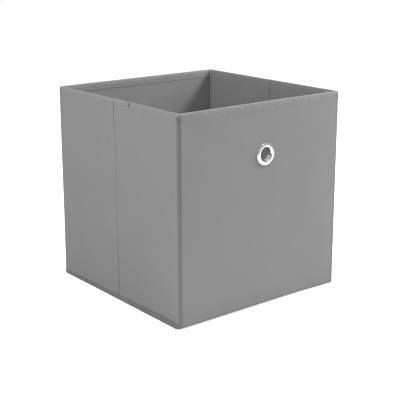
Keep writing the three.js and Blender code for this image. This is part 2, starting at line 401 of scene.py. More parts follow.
def cloth(name, grid, facing, material, shade=None, thickness=CLOTH, ring=False):
    """A closed sheet of cloth. grid holds its visible face as rows by columns by xyz, and facing is about
    where that face looks. A ring joins its last row to its first."""
    shade = np.zeros(grid.shape[:2]) if shade is None else np.broadcast_to(shade, grid.shape[:2])
    thickness = np.broadcast_to(thickness, grid.shape[:2])[..., None]
    normals = surface_normals(grid)
    if ring:
        looped = np.concatenate([grid[-1:], grid, grid[:1]])
        normals = surface_normals(looped)[1:-1]
    if (normals @ np.asarray(facing, float)).sum() < 0:
        grid, normals = grid[:, ::-1], -normals[:, ::-1]
        shade, thickness = shade[:, ::-1], thickness[:, ::-1]
    rows, columns = grid.shape[:2]
    count = rows * columns
    index = np.arange(count).reshape(rows, columns)
    if ring:
        index = np.concatenate([index, index[:1]])
    a, b, c, d = index[:-1, :-1], index[1:, :-1], index[1:, 1:], index[:-1, 1:]
    front = np.stack([a, b, c, d], axis=-1).reshape(-1, 4)
    back = front[:, ::-1] + count
    if ring:
        loops = [index[:, 0], index[::-1, -1]]
    else:
        loops = [np.concatenate([index[:, 0], index[-1, 1:], index[-2::-1, -1], index[0, -2::-1]])]
    pairs = [pair for loop in loops for pair in zip(loop, loop[1:])]
    rim = [(end, start, start + count, end + count) for start, end in pairs]
    points = np.concatenate([grid.reshape(-1, 3), (grid - normals * thickness).reshape(-1, 3)])
    return new_piece(name, points, [*front, *back, *rim], material, np.tile(shade.ravel(), 2))


def points_of(x, y, z):
    """A grid of points, from coordinates that broadcast together."""
    return np.stack(np.broadcast_arrays(x, y, z), axis=-1)


def upright(plan, heights):
    """Rows of points in plan, with each row's height added."""
    return points_of(plan[..., 0], plan[..., 1], heights[:, None])


def section_of(along, stretches):
    """Depths and heights of a section at all the places along, from stretches of (depth, height)."""
    whole = [np.broadcast_arrays(along, depth, height)[1:] for depth, height in stretches]
    return (np.concatenate(parts, axis=1) for parts in zip(*whole))


def place(piece, body):
    """Puts a piece on its body. body is a body's name, or (a, b, start, end) for a piece between two bodies,
    which is left fixed where it is made, or (body, anchor, axis, keep) for a piece that rides on that body
    with a mesh of its own. a, start, end, axis and keep are not used, and b and anchor only tell the two
    tuples apart."""
    if isinstance(body, str):
        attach(piece, body)
    elif isinstance(body[1], str):
        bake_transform(piece)
    else:
        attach(piece, body[0])
        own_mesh(piece)
    return piece


def stitch_row(path, normals):
    """Points and faces of a row of stitches on a line of points that has these normals."""
    sides, rings = 6, 5
    dive = 0.9 * THREAD_RADIUS  # the ends of a stitch go down into the cloth
    half = STITCH_LENGTH / 2
    travelled = np.concatenate([[0], np.cumsum(np.linalg.norm(np.diff(path, axis=0), axis=1))])
    count = max(1, int(travelled[-1] / STITCH_PITCH))
    centres = (np.arange(count) + 0.5) * travelled[-1] / count

    def at(values, where):
        return np.stack([np.interp(where, travelled, values[:, axis]) for axis in range(3)], axis=1)

    def unit(vectors):
        return vectors / np.linalg.norm(vectors, axis=1, keepdims=True)

    middles = at(path, centres)
    tangents = unit(at(path, centres + half) - at(path, centres - half))
    ups = unit(at(normals, centres))
    points, faces = [], []
    angles = np.arange(sides) * 2 * math.pi / sides
    for middle, ahead, out, across in zip(middles, tangents, ups, np.cross(tangents, ups)):
        first = len(points)
        for ring in range(rings):
            turn = math.pi * (ring + 0.5) / rings
            radius = THREAD_RADIUS * math.sin(turn) ** 0.5
            centre = middle - ahead * half * math.cos(turn) - out * dive * abs(math.cos(turn))
            points += [centre + (across * math.cos(t) + out * math.sin(t)) * radius for t in angles]
        for ring in range(rings - 1):
            low, high = first + ring * sides, first + (ring + 1) * sides
            neighbours = [(k, (k + 1) % sides) for k in range(sides)]
            faces += [(low + after, high + after, high + k, low + k) for k, after in neighbours]
        faces.append(tuple(first + k for k in range(sides)))
        faces.append(tuple(first + (rings - 1) * sides + k for k in reversed(range(sides))))
    return points, faces


def stitching(name, rows, body):
    """One piece of thread for several rows of stitches. Each row is (path, normals)."""
    points, faces = [], []
    for path, normals in rows:
        more_points, more_faces = stitch_row(path, normals)
        faces += [tuple(corner + len(points) for corner in face) for face in more_faces]
        points += more_points
    return place(new_piece(name, points, faces, THREAD, sharp_angle=80), body)


# --- Shape of the outer cloth ---------------------------------------------------------------------
def front_fold(x):
    """Height of the front wall's lower edge: raised, and down to the floor at the right corner."""
    return FRONT_FOLD + (FRONT_FOLD_RIGHT - FRONT_FOLD) * ramp(x, FRONT_DROP, HALF_WIDTH)


def front_recess(x):
    """How far the cloth turns in under the front wall's lower edge."""
    return FRONT_RECESS + (FRONT_RECESS_RIGHT - FRONT_RECESS) * ramp(x, FRONT_DROP, 2 * FRONT_DROP)


def band_top(y):
    """Height of the soft band at the foot of a side wall, which gets taller towards the front."""
    return BAND_REAR + (BAND_FRONT - BAND_REAR) * (HALF_DEPTH - np.asarray(y)) / (2 * HALF_DEPTH)


def slip(height):
    """How far the cloth lies in to slip under the hem, which is level with it."""
    height = np.asarray(height)
    under = CLOTH - PRESSED + 0.05 * MM
    pressed = PRESSED * ramp(height, HEM_BOTTOM - 1.5 * MM, HEM_BOTTOM)
    return pressed + under * ramp(height, HEM_BOTTOM, HEM_BOTTOM + HEM_SWELL)


def skin_depth(height):
    """The outer cloth stands proud of its card."""
    return SKIN + slip(height)


def lining_depth(wall, height):
    """The lining lies on its card and comes out to the inside of the hem: on the back wall only above the
    place where the raised base panel leans on it."""
    height = np.asarray(height)
    rise = 2 * MM if wall == "back" else 70 * MM
    level = LINING + (WALL - SKIN - LINING) * ramp(height, HEM_BOTTOM - rise, HEM_BOTTOM)
    return level - slip(height)


def ledge(y):
    """Step from a side panel's cloth in to its soft band, which dies out at the back."""
    return BAND_LEDGE * (1 - 0.9 * ramp(y, 60 * MM, SIDE_END))


def side_tuck(y, height):
    """How far the side walls' soft band lies in from the panel's cloth."""
    below = band_top(y) - np.asarray(height)
    belly = ramp(below / (band_top(y) - 0.6 * MM), 0.2, 0.9)
    return ledge(y) * ramp(below, 0, 0.5 * MM) - BAND_BULGE * belly


def end_tuck(sign_x, sign_y, height):
    """How far the front cloth lies in at a corner, near its foot."""
    if sign_y > 0:
        return 0.0
    x = sign_x * HALF_WIDTH
    return front_recess(x) * ramp(front_fold(x) - np.asarray(height), 0, 1.3 * MM)


def panel_waves(points, along, start, end, size):
    """Slow waves in a panel's cloth that die out at its two ends."""
    edge = 22 * MM
    calm = ramp(along, start, start + edge) * (1 - ramp(along, end - edge, end))
    return size * calm * (ripple(points, 75 * MM, 3.1) + 0.5 * ripple(points, 28 * MM, 8.4))


def settled(height):
    """Waves die out towards the hem."""
    return 1 - 0.8 * ramp(height, HEM_BOTTOM - 12 * MM, HEM_BOTTOM - 2 * MM)


def cloth_heights(bottom):
    """Columns of heights from a column of lower edges up to the top, closer together at the hem."""
    near_hem = HEM_BOTTOM - 3 * MM
    body = np.linspace(0, 1, round(near_hem / SKIN_STEP))[None, :]
    top = steps(near_hem, CLOTH_TOP, 0.75 * MM)[None, 1:]
    return np.concatenate([bottom + (near_hem - bottom) * body, top + 0 * bottom], axis=1)


def panel_cloth(name):
    """The outer cloth and the lining of one panel."""
    wall, _, start, end, foot = PANELS[name]
    along = steps(start, end, SKIN_STEP)[:, None]
    bottom = band_top(along) if wall in ("left", "right") else np.full_like(along, foot)
    height = cloth_heights(bottom)
    waves = panel_waves(on_wall(wall, along, 0, height), along, start, end, 0.5 * MM)
    depth = skin_depth(height) + waves * settled(height)
    panel_layer(name, "outer", on_wall(wall, along, depth, height))

    if wall in ("front", "back"):
        start, end = LINING_CUT - HALF_WIDTH, HALF_WIDTH - LINING_CUT
    along = steps(start, end, SKIN_STEP)[:, None]
    height = cloth_heights(np.full_like(along, max(foot, FRONT_FOOT)))
    size = 0.12 * MM if wall == "back" else 0.5 * MM
    waves = panel_waves(on_wall(wall, along, WALL, height), along, start, end, size)
    depth = lining_depth(wall, height) + waves * settled(height)
    panel_layer(name, "lining", on_wall(wall, along, depth, height))


def panel_layer(name, layer, grid):
    """Makes the outer cloth or the lining of a panel from its grid."""
    wall, body = PANELS[name][:2]
    inward = WALLS[wall][1]
    if layer == "outer":
        piece = cloth(f"{name}_outer_cloth", grid, -inward, OUTER_FELT)
        stands_for = f"{name}_outer_fabric"
    else:
        piece = cloth(f"{name}_lining_cloth", grid, inward, LINING_FELT)
        stands_for = f"{name}_lining"
    if name == "front":
        cut_hole(piece)
    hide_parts(stands_for)
    place(piece, body)


def cut_hole(piece):
    """Cuts the eyelet's hole through a cloth of the front wall."""
    segments = 64
    turn = np.arange(segments) * 2 * math.pi / segments
    circle = eyelet_centre() + CLOTH_HOLE * np.stack([np.cos(turn), 0 * turn, np.sin(turn)], axis=1)
    reach = 12 * MM * Y
    points = [*(circle - reach), *(circle + reach)]
    faces = [tuple(range(segments)), tuple(range(2 * segments - 1, segments - 1, -1))]
    faces += [(k, k + segments, (k + 1) % segments + segments, (k + 1) % segments) for k in range(segments)]
    mesh = bpy.data.meshes.new("hole")
    mesh.from_pydata([tuple(point) for point in points], [], faces)
    cutter = add_object("hole", mesh)
    modifier = piece.modifiers.new("hole", "BOOLEAN")
    modifier.operation = "DIFFERENCE"
    modifier.solver = "EXACT"
    modifier.object = cutter
    bpy.context.view_layer.update()
    cut = bpy.data.meshes.new_from_object(piece.evaluated_get(bpy.context.evaluated_depsgraph_get()))
    piece.modifiers.clear()
    piece.data = cut
    bpy.data.objects.remove(cutter)


def eyelet_centre():
    """The middle of the eyelet, on the front wall's outer face."""
    low, high = EYELET_LOW, EYELET_HIGH
    return np.array([(low.x + high.x) / 2, -HALF_DEPTH, (low.z + high.z) / 2])


# --- Creases --------------------------------------------------------------------------------------
def outer_crease(along, height):
    """Depth of the groove and height of the swell beside it, on a side wall's outer cloth."""
    centre = np.interp(height, CREASE_HEIGHTS, CREASE_PLACES)
    fades = 1 - ramp(height, RIM - 5 * MM, RIM - 3 * MM)
    strength = np.interp(height, CREASE_HEIGHTS, CREASE_STRENGTHS) * fades
    swell = ridge(along, centre - 2.3 * MM, 1.1 * MM) * ramp(along, -CREASE_HALF, -CREASE_HALF + 3 * MM)
    return CREASE_DEPTH * ridge(along, centre, 0.95 * MM) * strength, 0.3 * MM * swell * strength


def inner_crease(along):
    """The same on the lining."""
    return CREASE_DEPTH * ridge(along, -4.4 * MM, 0.9 * MM), 0.45 * MM * ridge(along, -2.0 * MM, 1.1 * MM)


def crease_bend(side):
    """The two panels of a crease strip's wall, and where the strip runs between them."""
    return (f"{side}_rear_panel", f"{side}_front_panel", (0, BEND_HALF, 0), (0, -BEND_HALF, 0))


def crease(side):
    """The strip of a side wall that holds its upright crease: outer cloth and lining, each drawn darker down
    its groove with painted shade.
    """
    inward = WALLS[side][1]
    along = steps(-CREASE_HALF, CREASE_HALF, FINE_STEP)[:, None]
    height = cloth_heights(band_top(along))
    groove, swell = outer_crease(along, height)
    grid = on_wall(side, along, skin_depth(height) + groove - swell, height)
    # painted shade: the outer cloth is drawn darker down the crease's groove
    outer = cloth(f"{side}_crease_cloth", grid, -inward, OUTER_FELT, groove / CREASE_DEPTH)
    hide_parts(f"{side}_crease_strip")
    place(outer, crease_bend(side))

    height = cloth_heights(np.full_like(along, SIDE_FOOT))
    groove, swell = inner_crease(along)
    grid = on_wall(side, along, lining_depth(side, height) - groove + swell, height)
    # painted shade: the lining is drawn darker down its crease's groove
    lining = cloth(f"{side}_crease_lining", grid, inward, LINING_FELT, groove / CREASE_DEPTH)
    place(lining, crease_bend(side))


# --- Hems -----------------------------------------------------------------------------------------
def hem_section():
    """The hem's section from its outer lower edge over the rim to its inner lower edge: arrays of depth,
    height, outward direction in depth and in height, and thickness."""
    level = SKIN - 0.05 * MM
    drawn_in = 0.85 * MM  # the legs lean together towards the rim
    radius = WALL / 2 - drawn_in
    top = RIM - radius
    leg = steps(HEM_BOTTOM, top, 1.0 * MM)
    turn = np.linspace(math.pi, 0, 13)[1:-1]
    lean = level + (drawn_in - level) * ramp(leg, RIM - 5 * MM, top)
    depth = np.concatenate([lean, WALL / 2 + radius * np.cos(turn), WALL - lean[::-1]])
    height = np.concatenate([leg, top + radius * np.sin(turn), leg[::-1]])
    out_depth = np.concatenate([0 * leg - 1, np.cos(turn), 0 * leg + 1])
    out_height = np.concatenate([0 * leg, np.sin(turn), 0 * leg])
    thickness = PRESSED + (CLOTH - PRESSED) * ramp(height, HEM_BOTTOM, HEM_BOTTOM + HEM_SWELL)
    return depth, height, out_depth, out_height, thickness


def hem_relief(wall, along, section, calm):
    """How far the hem stands out of its plain section: drawn in by its stitches, with slanting puckers."""
    depth, height = section[:2]
    inner = depth > WALL / 2
    drawn = -0.06 * MM * ridge(height, STITCH_LINE, 0.9 * MM)
    slant = (along[:, None] + 0.9 * height[None, :]) / (5 * MM)
    up = (height[None, :] - 0.3 * along[:, None]) / (9 * MM)
    _, inward, half = WALLS[wall]
    face = inner[None, :] * 3.7 + half * 40 + inward[0] * 9.1  # each face has its own place in the noise
    puckers = ripple(points_of(slant, up, face), 1.0, 5.7)
    size = np.where(inner, 0.3 * MM, HEM_PUCKERS[wall]) * (1 - ramp(height, RIM - 4 * MM, RIM - 1 * MM))
    total = (drawn + size * puckers * ramp(height, HEM_BOTTOM, HEM_BOTTOM + 1.5 * MM)) * calm[:, None]
    if wall in ("left", "right"):
        groove, swell = outer_crease(along[:, None], height[None, :])
        inner_groove, inner_swell = inner_crease(along[:, None])
        total = total + np.where(inner[None, :], inner_swell - inner_groove, swell - groove)
    if wall == "left":
        behind = ramp(along, NOTCH - 0.15 * MM, NOTCH + 0.15 * MM)
        behind = behind * (1 - ramp(along, NOTCH + 3 * MM, NOTCH + 16 * MM))
        upper = ramp(height, STITCH_LINE - 0.5 * MM, STITCH_LINE + 1 * MM) * ~inner
        total = total - 0.8 * MM * behind[:, None] * upper[None, :]
    return total


def hem_piece(name, outer, inner, relief, section, body, shade):
    """A length of hem between two plan lines, the wall's outer and inner faces, with its stitches."""
    depth, height, out_depth, out_height, thickness = section
    share = (depth[None, :] + out_depth[None, :] * relief) / WALL
    plan = outer[:, None, :] + (inner - outer)[:, None, :] * share[..., None]
    grid = np.concatenate([plan, (height[None, :] + out_height[None, :] * relief)[..., None]], axis=2)
    # painted shade: a faint dark line along the row of stitches
    shade = np.maximum(0.02 * ridge(height, STITCH_LINE, 0.7 * MM), shade)
    piece = place(cloth(name, grid, Z, HEM_FELT, shade, thickness[None, :]), body)
    normals = surface_normals(grid)
    if (normals @ Z).sum() < 0:
        normals = -normals
    rows = []
    for other_leg in (depth > WALL / 2, depth < WALL / 2):
        column = int(np.argmin(abs(height - STITCH_LINE) + other_leg))
        rows.append((grid[:, column], normals[:, column]))
    stitching(f"{name}_stitches", rows, body)
    return piece, grid


def straight_hem(name, wall, start, end, body):
    """A length of hem along a wall."""
    section = hem_section()
    depth, height = section[:2]
    along = steps(start, end, HEM_STEP)
    if wall == "left":
        along = np.sort(np.concatenate([along, NOTCH + np.array([-0.2, -0.05, 0.05, 0.2]) * MM]))
        along = along[(along >= min(start, end)) & (along <= max(start, end))]
    relief = hem_relief(wall, along, section, np.ones(len(along)))
    lines = [on_wall(wall, along, face, 0.0)[:, :2] for face in (0.0, WALL)]
    shade = 0 * relief
    # painted shade down the crease grooves, on the hem's outer and inner faces
    if wall in ("left", "right"):
        grooves = outer_crease(along[:, None], height)[0], inner_crease(along[:, None])[0]
        shade = 0.67 * np.where(depth > WALL / 2, grooves[1], grooves[0]) / CREASE_DEPTH
    # painted shade: a dark mark just behind the notch where the hem's two ends overlap, on the outer face
    # above the stitches
    if wall == "left":
        upper = ramp(height, STITCH_LINE, STITCH_LINE + 1 * MM) * (depth < WALL / 4)
        shade = shade + 2.0 * ridge(along, NOTCH + 0.8 * MM, 1.4 * MM)[:, None] * upper[None, :]
    return hem_piece(name, *lines, relief, section, body, shade)


def panel_hem(name):
    """The hem over the rim of one panel."""
    wall, body, start, end, _ = PANELS[name]
    piece, grid = straight_hem(f"{name}_hem", wall, start, end, body)
    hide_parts(f"{name}_rim_hem")


def crease_hem(side):
    """The hem over a crease, placed like the crease strip."""
    piece, grid = straight_hem(f"{side}_crease_hem", side, -CREASE_HALF, CREASE_HALF, crease_bend(side))


# --- Corners --------------------------------------------------------------------------------------
def corner_line(side_depth, end_depth, radius, cut, leg_steps=(10, 9, 5)):
    """A line in plan round a corner, in distances from the side face and from the front or back face. It
    runs from the side panel's end, round a quarter circle, to the cut on the front or back."""
    far = HALF_DEPTH - SIDE_END
    before, turn, after = leg_steps
    centre = np.array([side_depth + radius, end_depth + radius])
    leg = np.linspace([side_depth, far], [side_depth, centre[1]], before, endpoint=False)
    angle = np.linspace(math.pi, 1.5 * math.pi, turn)
    arc = centre + radius * np.stack([np.cos(angle), np.sin(angle)], axis=1)
    tail = np.linspace([centre[0], end_depth], [cut, end_depth], after + 1)[1:]
    return np.concatenate([leg, arc, tail])


def corner_points(sign_x, sign_y, line):
    """Distances from the two faces of a corner as x and y."""
    return np.stack([sign_x * (HALF_WIDTH - line[..., 0]), sign_y * (HALF_DEPTH - line[..., 1])], axis=-1)


def corner_walls(name):
    """The side wall and the front or back wall that meet at a corner."""
    sign_x, sign_y = CORNERS[name][:2]
    return ("left" if sign_x < 0 else "right"), ("front" if sign_y < 0 else "back")


def corner_body(name):
    """Where a corner piece goes: between its two walls, where it is left fixed, or on the back wall at the
    open corner.
    """
    _, sign_y, side_body, end_body = CORNERS[name]
    if name == OPEN_CORNER:
        return end_body
    start, end = sign_y * SIDE_END, sign_y * (HALF_DEPTH - CORNER_BEND)
    return (side_body, end_body, (0, start, 0), (0, end, 0))


def corner_strip(line, height):
    """The strip pressed down round a corner, which drifts towards the front lower down: the painted shade
    that darkens it, and how far it lies in."""
    drift = ramp(height, 10 * MM, HEM_BOTTOM)
    on_side = (3.4 + 2.1 * drift) * MM
    on_end = (5.6 - 1.5 * drift) * MM
    edge = 0.35 * MM
    inside_side = 1 - ramp(line[..., 1], on_side - edge, on_side + edge)
    inside_end = 1 - ramp(line[..., 0], on_end - edge, on_end + edge)
    there = (1 - ramp(height, RIM - 5 * MM, RIM - 3.5 * MM)) * inside_side * inside_end
    grooves = ridge(line[..., 1], on_side, 0.5 * MM) * (line[..., 0] < 2.2 * MM)
    grooves = grooves + ridge(line[..., 0], on_end, 0.5 * MM) * (line[..., 1] < 2.2 * MM)
    lies_in = (0.15 * MM * grooves * ramp(there, 0, 0.1) + 0.2 * MM * there) * ramp(height, 10 * MM, 16 * MM)
    # the first value is painted shade, darkening the strip
    return there * (0.48 + 0.1 * drift), lies_in


def corner_cloth(name):
    """The outer cloth round a corner, with a strip pressed down on it. Painted shade darkens the strip and
    the soft band at the corner's foot.
    """
    sign_x, sign_y = CORNERS[name][:2]
    end = corner_walls(name)[1]
    foot, knee = (0.7 * MM if end == "front" else 0.3 * MM), 12 * MM
    heights = np.concatenate([steps(foot, knee, 0.6 * MM), cloth_heights(np.array([[knee]]))[0, 1:]])
    lines = []
    for height in heights:
        side_depth = float(skin_depth(height) + side_tuck(sign_y * SIDE_END, height))
        end_depth = float(skin_depth(height) + end_tuck(sign_x, sign_y, height))
        radius = CORNER_ROUND + FOOT_ROUND * (name == "front_left") * (1 - ramp(height, foot, 7 * MM))
        lines.append(corner_line(side_depth, end_depth, float(radius), CORNER_CUT))
    line = np.array(lines)
    pressed, inset = corner_strip(line, heights[:, None])
    line = line + inset[..., None]
    grid = upright(corner_points(sign_x, sign_y, line), heights)
    # painted shade: the strip and, on the side, the soft band below its top are drawn darker
    band = ramp(band_top(sign_y * SIDE_END) - heights, 0, 0.5 * MM)[:, None] * (line[..., 1] > line[..., 0])
    shade = np.maximum(pressed, 0.5 * band)
    piece = cloth(f"{name}_corner_cloth", grid, (sign_x, sign_y, 0), OUTER_FELT, shade)
    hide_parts(f"{name}_corner_strip")
    place(piece, corner_body(name))


def corner_lining(name):
    """The lining in a corner, folded sharply, with painted shade along the fold."""
    sign_x, sign_y = CORNERS[name][:2]
    side, end = corner_walls(name)
    heights = cloth_heights(np.array([[FRONT_FOOT if end == "front" else BASE_LOW.z]]))[0]
    depths = np.stack([lining_depth(side, heights), lining_depth(end, heights)], axis=1)
    line = np.array([corner_line(*map(float, pair), INNER_ROUND, LINING_CUT, (8, 5, 4)) for pair in depths])
    grid = upright(corner_points(sign_x, sign_y, line), heights)
    valley = ridge(line.sum(axis=2), depths.sum(axis=1)[:, None] + 0.4 * MM, 1.2 * MM)
    inwards = (-sign_x, -sign_y, 0)
    # painted shade: the lining is drawn darker along the corner's fold
    piece = cloth(f"{name}_corner_lining", grid, inwards, LINING_FELT, 0.6 * valley)
    place(piece, corner_body(name))


def corner_hem(name):
    """The hem round a corner."""
    sign_x, sign_y = CORNERS[name][:2]
    side, end = corner_walls(name)
    section = hem_section()
    outer_line = corner_line(0.0, 0.0, HEM_ROUND, CORNER_CUT, (7, 9, 3))
    inner_line = corner_line(WALL, WALL, INNER_ROUND, CORNER_CUT, (7, 9, 3))
    from_end, from_side = outer_line[:, 1], outer_line[:, 0]
    calm_side = ramp(from_end, HEM_ROUND, HALF_DEPTH - SIDE_END)
    calm_end = ramp(from_side, HEM_ROUND, CORNER_CUT)
    relief = hem_relief(side, sign_y * (HALF_DEPTH - from_end), section, calm_side)
    relief = relief + hem_relief(end, sign_x * (HALF_WIDTH - from_side), section, calm_end)
    pressed, inset = corner_strip(outer_line[:, None, :], section[1][None, :])
    outside = section[0][None, :] < WALL / 2
    lines = [corner_points(sign_x, sign_y, line) for line in (outer_line, inner_line)]
    # painted shade: the corner strip's darkness carries on over the hem's outer face
    relief, shade = relief - inset * outside, pressed * outside
    piece, grid = hem_piece(f"{name}_corner_hem", *lines, relief, section, corner_body(name), shade)


def sliding_gusset():
    """Cloth inside the open corner. It rides on the side panel and slides out from under the corner's own
    cloth as the panel turns, so that the corner stays closed."""
    axis = np.array([-AXES["fold"].x, AXES["fold"].y])  # the fold's axis, mirrored to the open corner
    radius = HALF_WIDTH - SKIN - CLOTH - 0.3 * MM - axis[0]
    angle = np.linspace(0, math.pi / 2, 12)
    arc = axis + radius * np.stack([np.cos(angle), np.sin(angle)], axis=1)
    face = axis[0] + radius
    lead = np.linspace([face, SIDE_END - 9 * MM], [face, axis[1]], 6, endpoint=False)
    line = np.concatenate([lead, arc])
    heights = steps(SIDE_FOOT + 4 * MM, PANEL_TOP, SKIN_STEP)
    grid = upright(np.broadcast_to(line, (len(heights), *line.shape)), heights)
    piece = cloth("back_right_gusset", grid, (1, 1, 0), OUTER_FELT, thickness=0.15 * MM)
    place(piece, CORNERS[OPEN_CORNER][2])


# --- Feet of the walls ----------------------------------------------------------------------------
def side_foot(name):
    """The soft band under a side panel: down from the panel, round, and up inside."""
    wall, body = PANELS[name][:2]
    sign = -1 if name.endswith("front") else 1
    along = steps(0, sign * SIDE_END, FOOT_STEP)[:, None]
    top = band_top(along) + 0.4 * MM
    low = 0.1 * MM
    radius = 0.5 * MM
    outside = SKIN + ledge(along)
    lowest = outside - BAND_BULGE
    inside = LINING - 0.4 * MM
    spots = on_wall(wall, along, 0, top)
    calm = ramp(abs(along), SIDE_END, SIDE_END - 12 * MM) * ramp(abs(along), 0, 4 * MM)
    slack = (ripple(spots, 9 * MM, 2.2) + 0.6 * ripple(spots, 4 * MM, 6.1)) * calm
    drop = np.linspace(0, 1, 9)[None, :]
    across = np.linspace(0, 1, 5)[None, 1:-1]
    turn = np.linspace(0, math.pi / 2, 4)[None, :]
    down = top + (low + radius - top) * drop
    wrinkles = 0.45 * MM * slack * np.sin(math.pi * drop) ** 2
    depth, height = section_of(along, [
        (outside + wrinkles - BAND_BULGE * ramp(drop, 0.2, 0.9), down),
        (lowest + radius * (1 - np.cos(turn)), low + radius * (1 - np.sin(turn))),
        (lowest + radius + (inside - lowest - 2 * radius) * across, low),
        (inside - radius * (1 - np.sin(turn)), low + radius * (1 - np.cos(turn))),
        (inside, down[:, -2::-1]),
    ])
    grid = on_wall(wall, along, depth, height)
    # painted shade: the band is drawn darker all over, darker still just under its top edge and where its
    # wrinkles dip in
    shade = np.clip(0.5 + 0.25 * slack + 0.3 * ridge(height, top - 0.9 * MM, 0.9 * MM), 0, 1)
    piece = cloth(f"{name}_foot_cloth", grid, -Z, OUTER_FELT, shade)
    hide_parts(f"{name}_bottom_seam")
    crumples = (body, (0, 0, SIDE_FOOT), (0, 0, 1), CRUMPLED)
    place(piece, crumples)


def front_foot():
    """The cloth under the front panel. It comes out from behind the panel's cloth, turns in under the
    panel's lower edge and goes down to the bottom."""
    body, start, end = PANELS["front"][1:4]
    along = steps(start, end, FOOT_STEP)[:, None]
    fold = front_fold(along)
    radius = 0.2 * MM
    behind = SKIN + CLOTH + 0.1 * MM
    inner = SKIN + front_recess(along)
    slanted = inner + 0.5 * MM
    under = UNDER_BASE + 0.6 * MM
    low = 0.45 * MM
    shelf = np.maximum(fold - radius - 0.7 * MM, low)
    overlap = 0.3 * MM
    part = np.linspace(0, 1, 5)[None, :]
    onward = part[:, 1:]
    emerge = np.linspace(0, 1, 4)[None, 1:]
    turn = np.linspace(math.pi, 1.5 * math.pi, 5)[None, 1:]
    depth, height = section_of(along, [
        (behind, FRONT_FOOT + 3 * MM * (1 - part) + overlap),
        (behind + (SKIN - behind) * emerge, FRONT_FOOT + overlap * (1 - emerge)),
        (SKIN, FRONT_FOOT + (fold + radius - FRONT_FOOT) * onward),
        (SKIN + radius + radius * np.cos(turn), fold + radius + radius * np.sin(turn)),
        (SKIN + radius + (inner - SKIN - radius) * onward, fold + (shelf - fold) * onward),
        (inner + (slanted - inner) * onward, shelf + (low - shelf) * onward),
        (slanted + (under - slanted) * onward, low),
    ])
    slack = 0.25 * MM * ripple(on_wall("front", along, 0, height), 6 * MM, 4.4)
    slack = slack * ramp(depth, 1.5 * MM, 3 * MM) * ramp(FRONT_FOOT - height, 0, 1 * MM)
    grid = on_wall("front", along, depth + slack, height)
    # painted shade: the cloth is drawn darker where it turns in under the front's lower edge, into the
    # recess
    shade = 0.9 * ramp(depth, SKIN, SKIN + 1 * MM)
    piece = cloth("front_foot_cloth", grid, -Y, OUTER_FELT, shade, thickness=0.35 * MM)
    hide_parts("front_bottom_seam")
    crumples = (body, (0, 0, FRONT_FOOT), (0, 0, 1), CRUMPLED)
    place(piece, crumples)


# --- Bottom and base panel ------------------------------------------------------------------------
def bottom_cloth():
    """The sheet that the bin stands on, sewn to the walls."""
    side = HALF_WIDTH - LINING
    x = steps(-side, side, SKIN_STEP)[:, None]
    y = steps(UNDER_BASE - HALF_DEPTH, HALF_DEPTH - LINING, SKIN_STEP)[None, :]
    spots = points_of(x, y, 0.0)
    inside = ramp(SHEET_HIGH.x - abs(x), 2 * MM, 30 * MM) * ramp(SHEET_HIGH.y - abs(y), 8 * MM, 30 * MM)
    lift = 0.12 * MM * (1 + ripple(spots, 40 * MM, 7.7)) * inside
    grid = points_of(x, y, lift)
    piece = cloth("bottom_cloth", grid, -Z, FLAT_FELT, thickness=CLOTH - 0.2 * MM)
    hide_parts("bottom_sheet")
    gathers = ("back_wall", (0, HALF_DEPTH, 0), (0, 1, 0), 0.11)
    place(piece, gathers)


def base_covers():
    """The cloth on both faces of the panel that lies on the bottom."""
    low, high = BASE_EDGE_LOW, BASE_EDGE_HIGH
    inset = 1.2 * MM
    x = steps(low.x + inset, high.x - inset, SKIN_STEP)[:, None]
    y = steps(low.y + inset, high.y - inset, SKIN_STEP)[None, :]
    border = ramp(high.x - abs(x), 8 * MM, 25 * MM) * ramp(high.y - abs(y), 8 * MM, 25 * MM)
    waves = 0.12 * MM * ripple(points_of(x, y, 0.0), 45 * MM, 9.2) * border
    top = points_of(x, y, high.z - 0.15 * MM + waves)
    under = points_of(x, y, low.z + 0.15 * MM)
    for name, grid, facing, slot, node in (
        ("base_top_cloth", top, Z, "lining_fabric", "base_upper_cover"),
        ("base_under_cloth", under, -Z, "outer_fabric", "base_lower_cover"),
    ):
        piece = cloth(name, grid, facing, FLAT_FELT, thickness=0.5 * MM)
        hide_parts(node)
        place(piece, "base_flap")


def binding_section(width, stitch_inset):
    """The binding's section, from its inner edge on top, round the base panel's edge, to its inner edge
    below: distances from that edge, and heights."""
    low, high = BASE_EDGE_LOW.z, BASE_EDGE_HIGH.z
    radius = (high - low) / 2
    turn = np.linspace(math.pi / 2, -math.pi / 2, 9)
    leg = np.linspace(width, radius, 7)
    inwards = np.concatenate([leg[:-1], radius - radius * np.cos(turn), leg[::-1][1:]])
    upper = np.full_like(leg[:-1], high)
    lower = np.full_like(leg[1:], low)
    heights = np.concatenate([upper, low + radius + radius * np.sin(turn), lower])
    drawn = 0.12 * MM * ridge(inwards, width - stitch_inset, 0.9 * MM)
    return inwards, heights - (heights > high - 0.01 * MM) * (0.05 * MM + drawn)


